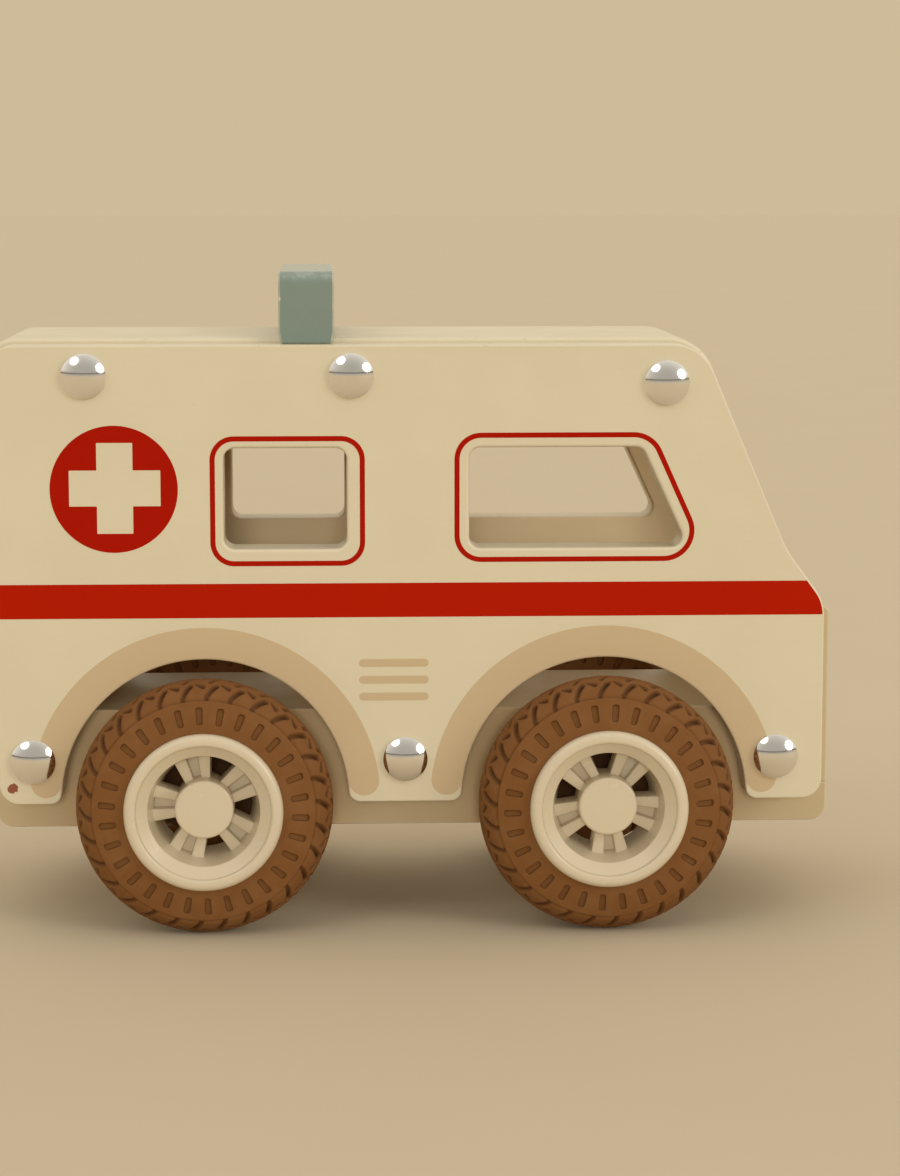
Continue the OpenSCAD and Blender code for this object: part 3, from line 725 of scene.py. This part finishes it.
def stripe_loops():
    """A level stripe that ends where the panel's eased front and rear edges begin."""
    outline = panel_outline()
    flat = outline - offset_normals(outline)[1] * EDGE_EASE
    front = flat[(flat[:, 0] > COWL[0]) & (flat[:, 1] > PANEL_FOOT + ARCH_R)]
    rows = np.linspace(*STRIPE_Z, 13)
    run = np.stack([np.interp(rows, front[:, 1], front[:, 0]), rows], axis=1)
    rear = PANEL_REAR + EDGE_EASE
    return [[np.concatenate([[[rear, STRIPE_Z[0]]], run, [[rear, STRIPE_Z[1]]]])]]


def disc_loops():
    """A disc with an upright cross left open in it: one arm's three corners, turned four times."""
    arm = np.array([[CROSS_REACH, -CROSS_ARM], [CROSS_REACH, CROSS_ARM], [CROSS_ARM, CROSS_ARM]])
    quarter = np.array([[0, 1], [-1, 0]])
    cross = CROSS_PLACE + np.concatenate([arm @ np.linalg.matrix_power(quarter, i) for i in range(4)])
    return [[ring(DISC_PLACE, DISC_R, 96), rounded(cross, CROSS_CORNER_R, 4)[::-1]]]


def window_line_loops():
    """Lines drawn round the windows: a line's outer and inner edges lie half its width from its middle."""
    low, high = FRONT_LINE_Z
    left, right_low, right_high = FRONT_LINE_X
    front = [[left, low], [right_low, low], [right_high, high], [left, high]]
    middles = [oblong(*REAR_LINE, REAR_LINE_R, 13), rounded(front, FRONT_LINE_R, 13)]
    steps = [offset_normals(middle)[1] * LINE_W / 2 for middle in middles]
    return [[middle + step, (middle - step)[::-1]] for middle, step in zip(middles, steps)]


def band_loops():
    """Bands round the wheel arches: two arcs about the axle, joined by half circles at their feet."""
    middle_r, half = BAND_R.mean(), (BAND_R[1] - BAND_R[0]) / 2
    bands = []
    for axle in AXLES.values():
        start = math.asin((BAND_FOOT + half - axle[1]) / middle_r)
        end = math.pi - start
        front, rear = (axle + middle_r * np.array([math.cos(a), math.sin(a)]) for a in (start, end))
        outer = arc(axle, BAND_R[1], start, end, 65)
        inner = arc(axle, BAND_R[0], end, start, 65)
        rear_foot = arc(rear, half, end, end + math.pi, 17)
        front_foot = arc(front, half, start + math.pi, start + 2 * math.pi, 17)
        bands.append([np.concatenate([outer, rear_foot[1:-1], inner, front_foot[1:-1]])])
    return bands


def vent_loops():
    """Three vents with round ends."""
    half = VENT_H / 2
    return [[oblong([VENT_X[0], z - half], [VENT_X[1], z + half], VENT_END_R)] for z in VENT_MIDDLES]


def print_sides():
    """Thin films of ink on both panels' faces."""
    prints = {
        "stripe": (stripe_loops(), RED_INK),
        "cross_disc": (disc_loops(), DARK_RED_INK),
        "window_line": (window_line_loops(), DARK_RED_INK),
        "arch_band": (band_loops(), TAN_INK),
        "vent": (vent_loops(), TAN_INK),
    }
    for side, sign in SIDES:
        low, high = sorted((sign * (PANEL_FACE - INK_PROUD), sign * (PANEL_FACE + INK_PROUD)))
        for kind, (shapes, material) in prints.items():
            for number, loops in enumerate(shapes, 1):
                name = f"{side}_{kind}" + (f"_{number}" if len(shapes) > 1 else "")
                mesh = eased_mesh(name, loops, low, high, [INK_EDGE] * len(loops), steps=2)
                new_piece(name, mesh, "body", "panel_paint", material)


print_sides()

# Round pieces


def revolved(profile, axle, face, sign, closed=False, steps=128):
    """Points and faces of a profile of radius and height turned about an axle along Y. At the angle t the point
    lies at (-sin t, cos t) times the radius from the axle, and outwards of the face by the height."""
    angle = np.linspace(0, 2 * np.pi, steps, endpoint=False)
    radius, height = profile[:, :1], profile[:, 1:]
    x = axle[0] - radius * np.sin(angle)
    z = axle[1] + radius * np.cos(angle)
    y = np.broadcast_to(-sign * (face + height), x.shape)
    return np.stack([x, y, z], axis=-1).reshape(-1, 3), grid_faces(len(profile), steps, closed=closed)


def dome_nails():
    """Nails with a dome head: a ball's cap that slopes by the lean at its rim, a small arc from there to the
    upright edge, a flat underside and a straight shank."""
    lean, rim_r = NAIL_RIM_LEAN, NAIL_RIM_R
    ball_r = (NAIL_HEAD_R - rim_r * (1 - math.sin(lean))) / math.sin(lean)
    middle = np.array([0, NAIL_HEAD_H - ball_r])
    rim = middle + (ball_r - rim_r) * np.array([math.sin(lean), math.cos(lean)])
    dome = arc(middle, ball_r, math.pi / 2, math.pi / 2 - lean, 25)
    edge = arc(rim, rim_r, math.pi / 2 - lean, 0, 9)[1:]
    depth = PANEL_BACK - PANEL_FACE - NAIL_BITE
    profile = np.concatenate([dome, edge, [[NAIL_HEAD_R, 0], [NAIL_R, 0], [NAIL_R, depth], [0, depth]]])
    for side, sign in SIDES:
        for kind, places in zip(("roof", "chassis"), nail_places(side)):
            name = f"{side}_{kind}_domes"
            parts = [revolved(profile, place, PANEL_FACE, sign, steps=64) for place in places]
            piece = new_piece(name, shell_mesh(name, parts), "body", "nail_chrome")
            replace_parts(piece, f"{side}_{kind}_nails")


dome_nails()

# Rims: radii, and places along the axle measured outwards from the middle of the tyre

WHEEL_Y = -sum(corner[1] for corner in box("front_right_tyre")) / 2
RIM_TURNS = {"front": math.radians(-4), "rear": math.radians(22)}
LIP_R = 1.7 * MM
RIM_R, LIP_FACE = 15.7 * MM, 8.5 * MM
BEVEL_R, BEVEL_FACE = 13.3 * MM, 7.6 * MM
MOUTH_R, MOUTH_FACE = 11.1 * MM, 5.9 * MM
SEAT_R, BARREL_R, BARREL_BACK_R = 13.5 * MM, 10.6 * MM, 9.3 * MM
BACK_BEAD_R, BACK_BEAD_W, BACK_FACE = 15.06 * MM, 2.4 * MM, -6.7 * MM
HUB_R, HUB_FACE, HUB_BACK = 5.8 * MM, 4.5 * MM, -5.5 * MM
HUB_FOOT_R = 5.95 * MM
BOSS_R, BOSS_END = 4.5 * MM, -12.2 * MM
BORE_R, BORE_END = 2.02 * MM, 2.9 * MM
PAIRS, PAIR_HALF = 5, math.radians(14.5)
SPOKE_FACE, SPOKE_BACK = 0.9 * MM, -4.1 * MM
BARREL_FACE = SPOKE_FACE + 1.4 * MM
SPOKE_ENDS = np.array([4.8, 11.4]) * MM
SPOKE_ASIDE = np.array([1.54, 2.70]) * MM
SPOKE_HALF_W = np.array([0.86, 1.40]) * MM
SPOKE_CORNER_SHARE, SPOKE_FLARE = 0.18, 0.1 * MM
PLATE_FACE, PLATE_BACK, PLATE_CORNER_R = -1.3 * MM, -2.7 * MM, 0.2 * MM
PLATE_ENDS = np.array([5.2, 11.4]) * MM

# Tyres, measured in the same way

TYRE_TURNS = {"front": math.radians(3.5), "rear": math.radians(22)}
TYRE_R = 25.5 * MM
TYRE_LIP_R, TYRE_FACE = 15.73 * MM, 6.69 * MM
SHOULDER_R, SHOULDER_FACE = 21.9 * MM, 5.8 * MM
TREAD_FACE, CROWN_R = 5.2 * MM, 6.2 * MM
# Radii between which the sidewall's rows are even; the slots' ends lie in the gaps, with rows of their own
WALL_ROWS = np.array([[TYRE_LIP_R, 16.8 * MM], [18.1 * MM, 20.1 * MM], [21.3 * MM, SHOULDER_R]])
SLOT_END_ROWS = np.linspace(-0.3, 0.3, 8) * MM
ROW_SLACK = 0.1 * MM
WALL_BULGE = 0.2 * MM
STEP_OUT, STEP_DROP = np.array([0.12, 0.15]) * MM, 0.08 * MM
RIM_GAP, TYRE_BORE_BACK = 0.02 * MM, -7.3 * MM
HOLLOW_START, HOLLOW_END = math.radians(246), math.radians(352)
TREAD_COUNT = 30
PITCH = 2 * math.pi / TREAD_COUNT
SLOT_CIRCLE_R, SLOT_L, SLOT_W, SLOT_DEPTH = 19.1 * MM, 3.3 * MM, 1.15 * MM, 0.55 * MM
SLOT_CORNER_R = 0.4 * MM
TYRE_CREASE = 70
SLOT_WALL, CUT_WALL = 0.22 * MM, 0.24 * MM
# Painted shade in the tyre: its share on the slots' walls and floors, and the cut depth that gets it in full
SLOT_WALL_SHADE, SLOT_FLOOR_SHADE, FULL_SHADE_CUT_DEPTH = 2.4, 0.15, 0.9 * MM
# Each tread cut: its height in mm and angle in degrees where it starts, the same where it ends, both widths in
# mm and both depths in mm
TREAD_CUTS = [
    ((5.7, 9.2), (3.0, 3.7), (0.7, 0.9), (0.45, 0.95)),
    ((2.6, 1.0), (3.3, -2.0), (0.5, 0.9), (0.75, 0.75)),
    ((1.9, 6.8), (0.3, 4.2), (0.7, 0.7), (0.75, 0.75)),
]


def barrel_profile():
    """Half section of the barrel: a round lip, the bevel into its mouth, a bore that narrows to the back and
    the bead behind the tyre. Each corner has its radius, its height and its own rounding."""
    lip_low = LIP_FACE - 2 * LIP_R
    bead_top = BACK_FACE + BACK_BEAD_W
    corners = np.array([
        [MOUTH_R, MOUTH_FACE, 0.4 * MM], [BARREL_R, BARREL_FACE, 1.2 * MM],
        [BARREL_BACK_R, HUB_BACK, 0.3 * MM], [MOUTH_R, BACK_FACE, 0.3 * MM],
        [BACK_BEAD_R, BACK_FACE, 1.1 * MM], [BACK_BEAD_R, bead_top, 1.1 * MM],
        [SEAT_R, bead_top, 0.05 * MM], [SEAT_R, lip_low, 0.05 * MM],
        [RIM_R, lip_low, 1.6 * MM], [RIM_R, LIP_FACE, 1.35 * MM],
        [BEVEL_R, LIP_FACE, 0.65 * MM], [BEVEL_R, BEVEL_FACE, 0.4 * MM],
    ])
    return rounded(corners[:, :2], corners[:, 2])


def hub_profile():
    """Half section of the hub from the middle of its cap, which widens a little inwards, to the end of its
    bore, with corners as on the barrel."""
    corners = np.array([
        [0, HUB_FACE, 0], [HUB_R, HUB_FACE, 0.6 * MM],
        [HUB_FOOT_R, SPOKE_FACE, 0.3 * MM], [HUB_FOOT_R, SPOKE_BACK, 0.3 * MM],
        [HUB_R, HUB_BACK, 0.3 * MM], [BOSS_R, HUB_BACK, 0.05 * MM],
        [BOSS_R, BOSS_END, 0.2 * MM], [BORE_R, BOSS_END, 0.1 * MM],
        [BORE_R, BORE_END, 0.05 * MM], [0, BORE_END, 0],
    ])
    return rounded(corners[:, :2], corners[:, 2], 7)


def on_wheel(axle, sign, angle, radius, aside, height):
    """Places on a wheel: out along the radius at an angle, aside from it, and outwards from the tyre's
    middle."""
    x = axle[0] - radius * np.sin(angle) + aside * np.cos(angle)
    z = axle[1] + radius * np.cos(angle) + aside * np.sin(angle)
    y = -sign * (WHEEL_Y + height)
    return np.stack(np.broadcast_arrays(x, y, z), axis=-1).reshape(-1, 3)


def stacked_faces(copies, rows, columns):
    """The faces of equal grids that follow each other."""
    return np.concatenate([grid_faces(rows, columns, i * rows * columns) for i in range(copies)])


def pair_angles(turn):
    """The middle angle of each pair of spokes."""
    return (np.arange(PAIRS) + 0.5) * 2 * np.pi / PAIRS - turn


def spokes(axle, sign, turn):
    """Straight spokes in pairs. A spoke's section is an oblong with round corners, a little wider at its back
    than at its front. Along the middle line of its pair, its distance from that line and its width grow evenly
    with the radius, and its end sections shrink to points inside the hub and the barrel."""
    section = oblong([-1, -1], [1, 1], SPOKE_CORNER_SHARE, 4)
    share = np.concatenate([[0], np.linspace(0, 1, 7), [1]])[:, None]
    size = np.ones_like(share)
    size[[0, -1]] = 0
    ranges = (SPOKE_ENDS, SPOKE_ASIDE, SPOKE_HALF_W)
    radius, middle, half_w = (low + share * (high - low) for low, high in ranges)
    across, deep = section[:, 0] * size, section[:, 1] * size
    height = (SPOKE_FACE + SPOKE_BACK) / 2 + deep * (SPOKE_FACE - SPOKE_BACK) / 2
    side = np.array([1, -1])[:, None, None]
    aside = side * middle + across * (half_w + SPOKE_FLARE * (1 - deep))
    points = on_wheel(axle, sign, pair_angles(turn)[:, None, None, None], radius, aside, height)
    return points, stacked_faces(2 * PAIRS, len(share), len(section))


def plates(axle, sign, turn):
    """Plates that close the gap inside each pair: a rounded oblong of radius and height carried round the axle
    from one spoke's middle to the other's, its end sections shrunk to a point."""
    section = oblong([PLATE_ENDS[0], PLATE_BACK], [PLATE_ENDS[1], PLATE_FACE], PLATE_CORNER_R, 3)
    swing = np.concatenate([[-1], np.linspace(-1, 1, 13), [1]])[:, None] * PAIR_HALF
    size = np.ones_like(swing)
    size[[0, -1]] = 0
    middle = section.mean(axis=0)
    radius, height = (middle[i] + (section[:, i] - middle[i]) * size for i in (0, 1))
    points = on_wheel(axle, sign, pair_angles(turn)[:, None, None] + swing, radius, 0.0, height)
    return points, stacked_faces(PAIRS, *radius.shape)


def inside(distance, wall):
    """1 inside a mark, where the distance from its edge is below zero, 0 outside it, and a smooth step in its
    wall."""
    return smooth_step(0.5 - distance / wall)


def slot_distance(along, across, length, width, corner):
    """Distance from the edge of an oblong with round corners, below zero inside it."""
    out_along = np.abs(along) - length / 2 + corner
    out_across = np.abs(across) - width / 2 + corner
    outside = np.hypot(np.maximum(out_along, 0), np.maximum(out_across, 0))
    return outside + np.minimum(np.maximum(out_along, out_across), 0) - corner


def cut_depth(place, start, end, widths, depths):
    """Depth of a straight cut with round ends whose width and depth change evenly from start to end."""
    run = end - start
    along = np.clip(((place - start) @ run) / (run @ run), 0, 1)
    nearest = start + along[..., None] * run
    width, depth = (first + along * (last - first) for first, last in (widths, depths))
    return depth * inside(np.linalg.norm(place - nearest, axis=-1) - width / 2, CUT_WALL)


def tyre_section():
    """Half section of a tyre as rows of radius and height, from the rim's lip over the tread and back through
    the bore: two sidewalls, a step down to the tread, the crown's arc and a hollow for the lip. Rows crowd at
    the slots' ends."""
    slot_ends = SLOT_CIRCLE_R + np.array([-0.5, 0.5])[:, None] * SLOT_L + SLOT_END_ROWS
    radius = np.sort(np.concatenate([*np.linspace(*WALL_ROWS.T, 4), *slot_ends]))
    share = (radius - TYRE_LIP_R) / (SHOULDER_R - TYRE_LIP_R)
    bulge = WALL_BULGE * np.sin(np.pi * share)
    sidewall = np.stack([radius, TYRE_FACE + share * (SHOULDER_FACE - TYRE_FACE) + bulge], axis=1)
    corner = math.asin(TREAD_FACE / CROWN_R)
    crown = arc([TYRE_R - CROWN_R, 0], CROWN_R, corner, -corner, 45)
    step = np.stack([SHOULDER_R + STEP_OUT, [SHOULDER_FACE - STEP_DROP, TREAD_FACE]], axis=1)
    half = np.concatenate([sidewall, step])
    back = half[::-1] * [1, -1]
    hollow = arc([RIM_R - LIP_R, LIP_FACE - LIP_R], LIP_R + RIM_GAP, HOLLOW_START, HOLLOW_END, 9)
    bore = [[SEAT_R + RIM_GAP, TYRE_BORE_BACK], [SEAT_R + RIM_GAP, hollow[0, 1]]]
    return np.concatenate([half, crown, back, bore, hollow])


def tyre_columns():
    """Angles of the columns round one slot, from half a pitch before its middle on, as shares of the pitch.
    They crowd at the slot's sides."""
    half_slot = 0.5 * SLOT_W / SLOT_CIRCLE_R / PITCH
    sides = np.array([-1, 1])[:, None] * half_slot + np.linspace(-0.05, 0.05, 6)
    between = np.array([0.26, 0.32, 0.38, 0.44])
    return np.sort(np.concatenate([*sides, -between, between, [-0.5, -0.06, 0, 0.06]]))


def tread_depth(height, turned):
    """Depth of the tread's cuts at heights and at angles from the middle of a slot. On each half of the tread
    a slanted cut runs from the shoulder towards the crown, and two short ones lie beside it; the inner half is
    half a pitch behind the outer one. A place takes the deepest of the cuts that reach it, also from pitches
    beside its own."""
    deepest = 0.0
    for face, lag in ((1, 0.0), (-1, 0.5)):
        for shift in (-1, 0, 1, 2):
            run = TYRE_R * (turned + (shift - lag) * PITCH)
            place = np.stack(np.broadcast_arrays(face * height, run), axis=-1)
            for *points, widths, depths in TREAD_CUTS:
                ends = [np.array([point[0] * MM, TYRE_R * math.radians(point[1])]) for point in points]
                cut = cut_depth(place, *ends, np.array(widths) * MM, np.array(depths) * MM)
                deepest = np.maximum(deepest, cut)
    return deepest


def tyre(axle, sign, turn):
    """Points and faces of a tyre, and how much painted shade its slots and cuts get. Its section is turned about
    the axle and sunk along its own normal by slots in the sidewalls, oblongs with round corners, and by the
    tread's cuts."""
    section = tyre_section()
    normal = offset_normals(section[::-1])[0][::-1]
    columns = tyre_columns() * PITCH
    turned = np.tile(columns, TREAD_COUNT)
    angle = turned + np.repeat(np.arange(TREAD_COUNT) * PITCH, len(columns))
    radius, height = section[:, :1], section[:, 1:]
    on_wall = (radius < SHOULDER_R) & (np.abs(height) > SHOULDER_FACE - ROW_SLACK)
    on_tread = (radius > SHOULDER_R + STEP_OUT.mean()) & (np.abs(height) < TREAD_FACE + ROW_SLACK)
    slots = slot_distance(radius - SLOT_CIRCLE_R, SLOT_CIRCLE_R * turned, SLOT_L, SLOT_W, SLOT_CORNER_R)
    slots = np.where(on_wall, inside(slots, SLOT_WALL), 0)
    cuts = np.where(on_tread, tread_depth(height, turned), 0)
    sunk = section[:, None] - (slots * SLOT_DEPTH + cuts)[..., None] * normal[:, None]
    points = on_wheel(axle, sign, angle - turn, sunk[..., 0], 0.0, sunk[..., 1])
    # Painted shade: most on the slots' walls, some on their floors, and more the deeper a cut is
    dark = SLOT_WALL_SHADE * slots * (1 - slots) + SLOT_FLOOR_SHADE * slots + cuts / FULL_SHADE_CUT_DEPTH
    return points, grid_faces(len(section), len(angle), closed=True), dark.ravel()


def wheels():
    """Four moulded rims with their tyres."""
    for end, axle in AXLES.items():
        for side, sign in SIDES:
            turn = RIM_TURNS[end]
            parts = [
                revolved(barrel_profile(), axle, WHEEL_Y, sign, closed=True),
                revolved(hub_profile(), axle, WHEEL_Y, sign, steps=96),
                spokes(axle, sign, turn),
                plates(axle, sign, turn),
            ]
            body = f"{end}_wheelset"
            name = f"{end}_{side}_rim_moulding"
            rim = new_piece(name, shell_mesh(name, parts), body, "rim_plastic")
            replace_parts(rim, f"{end}_{side}_rim")
            name = f"{end}_{side}_tyre_moulding"
            points, faces, dark = tyre(axle, sign, TYRE_TURNS[end])
            mesh = shell_mesh(name, [(points, faces)], TYRE_CREASE, dark)
            rubber = new_piece(name, mesh, body, "tyre_rubber")
            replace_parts(rubber, f"{end}_{side}_tyre")


wheels()

# Stage, light and camera

FLOOR = colour(0.595, 0.50, 0.35)
FLOOR_DEEP = colour(0.575, 0.48, 0.33)
FLOOR_REACH, FLOOR_MOTTLE = 12.0, 60 * MM
HORIZON = colour(0.617, 0.497, 0.322)
OVERHEAD = colour(0.85, 0.81, 0.73)
FRONT_GLOW = colour(0.43, 0.40, 0.35)
BACK_GLOW = colour(1.05, 0.92, 0.72)
DIM_BAND = colour(0.16, 0.125, 0.10)
# Where the sky's fields begin and end, as Z or Y of a view direction of length one
OVERHEAD_Z = (0.06, 0.30)
FRONT_Y = (-0.1, -0.95)
BACK_Y, BACK_FOOT_Z, BACK_TOP_Z = (0.0, 0.6), (0.08, 0.2), (0.9, 0.65)
DIM_Y, DIM_FOOT_Z, DIM_TOP_Z = (0.1, -0.1), (0.07, 0.09), (0.16, 0.12)
SUN_TINT = (1.0, 0.99, 0.97)
# Each sun: where it shines from, its strength, its spread in degrees, and whether gloss mirrors it
SUNS = {
    "left_window": ((-0.46, -0.58, 0.67), 0.2, 25, True),
    "right_window": ((0.72, -0.56, 0.34), 0.68, 25, True),
    "front_light": ((-0.02, -0.90, 0.17), 0.95, 12.5, False),
}
EYE = np.array([-18.41, -620.59, 148.65]) * MM
EYE_DOWN, EYE_TURN = 7.775, -2.468
PICTURE_H, FOCAL_PX = 1176, 2988
SENSOR_MM = 36


def stage_floor():
    """A plain pale floor."""
    material, place, shader = new_material("floor", Roughness=0.9)
    feed(place.noise(FLOOR_MOTTLE, 2).between(FLOOR, FLOOR_DEEP), shader, "Base Color")
    mesh = bpy.data.meshes.new("floor")
    corners = np.array([[-1, -1, 0], [1, -1, 0], [1, 1, 0], [-1, 1, 0]]) * FLOOR_REACH
    mesh.from_pydata(corners, [], [[0, 1, 2, 3]])
    mesh.materials.append(material)
    floor = bpy.data.objects.new("floor", mesh)
    bpy.context.scene.collection.objects.link(floor)
    floor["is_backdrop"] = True


def sun(name, place, strength, spread, mirrored):
    """A sun that shines from a place towards the origin."""
    data = bpy.data.lights.new(name, "SUN")
    data.energy = strength
    data.color = SUN_TINT
    data.angle = math.radians(spread)
    made = bpy.data.objects.new(name, data)
    made.location = place
    made.rotation_euler = (-Vector(place)).to_track_quat("-Z", "Y").to_euler()
    made.visible_glossy = mirrored
    bpy.context.scene.collection.objects.link(made)


def surroundings():
    """Soft light from all round: brighter overhead and dimmer from the toy's right, with a wide bright field on
    its left, and on its right a dim band a little above the horizon, which the nails mirror."""
    world = bpy.data.worlds.new("surroundings")
    bpy.context.scene.world = world
    world.use_nodes = True
    tree = world.node_tree
    coordinates = tree.nodes.new("ShaderNodeTexCoord")
    _, depth, height = Field(tree, coordinates.outputs["Generated"]).axes()
    sky = height.rise(*OVERHEAD_Z).between(HORIZON, OVERHEAD)
    sky = depth.rise(*FRONT_Y).between(sky, FRONT_GLOW)
    field = depth.rise(*BACK_Y) * height.rise(*BACK_FOOT_Z) * height.rise(*BACK_TOP_Z)
    sky = field.between(sky, BACK_GLOW)
    band = height.rise(*DIM_FOOT_Z) * height.rise(*DIM_TOP_Z) * depth.rise(*DIM_Y)
    sky = band.between(sky, DIM_BAND)
    tree.links.new(sky.socket, tree.nodes["Background"].inputs["Color"])


def camera():
    """A camera where the photograph was taken from. Its sensor spans the picture's height."""
    data = bpy.data.cameras.new("camera")
    data.sensor_width = SENSOR_MM
    data.lens = SENSOR_MM * FOCAL_PX / PICTURE_H
    eye = bpy.data.objects.new("camera", data)
    eye.location = EYE
    eye.rotation_euler = np.radians([90 - EYE_DOWN, 0, EYE_TURN])
    bpy.context.scene.collection.objects.link(eye)
    bpy.context.scene.camera = eye


stage_floor()
surroundings()
for sun_name, settings in SUNS.items():
    sun(sun_name, *settings)
camera()
bpy.context.scene.view_settings.view_transform = "Standard"

boxes = {"cad": cad_box, "visual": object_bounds()}
{name: [list(corner) for corner in box] for name, box in boxes.items()}
